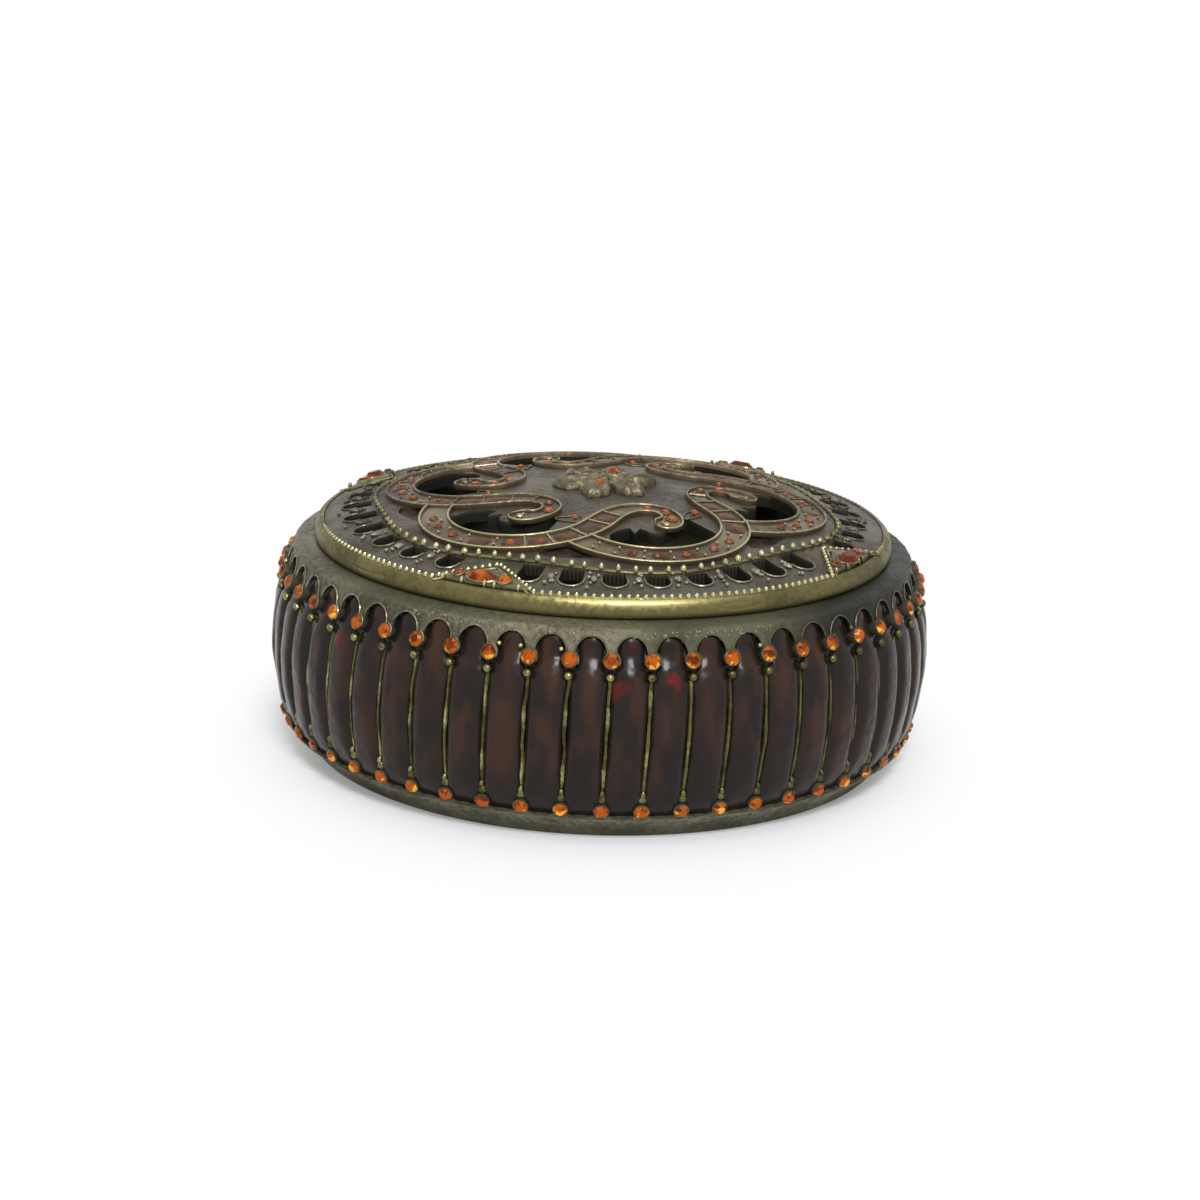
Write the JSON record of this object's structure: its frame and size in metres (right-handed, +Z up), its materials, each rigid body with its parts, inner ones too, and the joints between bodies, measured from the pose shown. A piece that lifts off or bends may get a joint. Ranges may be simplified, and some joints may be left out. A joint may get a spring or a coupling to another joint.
{
  "type": "jewellery box",
  "caption": "Round cast-metal trinket box with an enamelled gadrooned wall, stone-set rows and a lift-off pierced dome lid of six S-scrolls.",
  "frame": {"origin": "centre of the ring that the box stands on, at the resting plane", "axes": "+Z up through the lid's flower; -Y towards the front, +X to the right seen from the front"},
  "size_m": [0.1018, 0.1018, 0.0421],
  "materials": {
    "bronze": "cast, plated and antiqued to a dull olive bronze, fine speckled grain",
    "brass": "polished half-round band, lightly tarnished",
    "wire": "bright rubbed tops with dark recesses",
    "patina": "dark grey-brown patina, satin",
    "enamel": "glossy translucent dark red-brown enamel",
    "amber": "faceted amber glass stones with foil backs",
    "velvet": "black velvet"
  },
  "bodies": {
    "box": {"base": "bronze", "lobed_wall": "enamel", "shoulder_ring": "bronze", "wire_arcade": "wire", "floor_pad": "velvet"},
    "lid": {"lid_plate": "patina", "rim_band": "brass", "locating_flange": "bronze", "scroll_1": "wire", "scroll_2": "wire", "scroll_3": "wire", "scroll_4": "wire", "scroll_5": "wire", "scroll_6": "wire", "centre_flower": "wire", "flower_stone_front": "amber", "flower_stone_back": "amber", "junction_stone_1": "amber", "junction_stone_2": "amber", "junction_stone_3": "amber", "junction_stone_4": "amber", "junction_stone_5": "amber", "junction_stone_6": "amber", "bead_row": "wire", "grain_wire_1": "wire", "cluster_setting_1": "wire", "marquise_1": "amber", "grain_wire_2": "wire", "cluster_setting_2": "wire", "marquise_2": "amber", "grain_wire_3": "wire", "cluster_setting_3": "wire", "marquise_3": "amber", "grain_wire_4": "wire", "cluster_setting_4": "wire", "marquise_4": "amber"}
  },
  "joints": [
    {"name": "lid_lift", "type": "slide", "parent": "box", "child": "lid", "axis": [0, 0, 1], "range_m": [0, 0.05]}
  ]
}
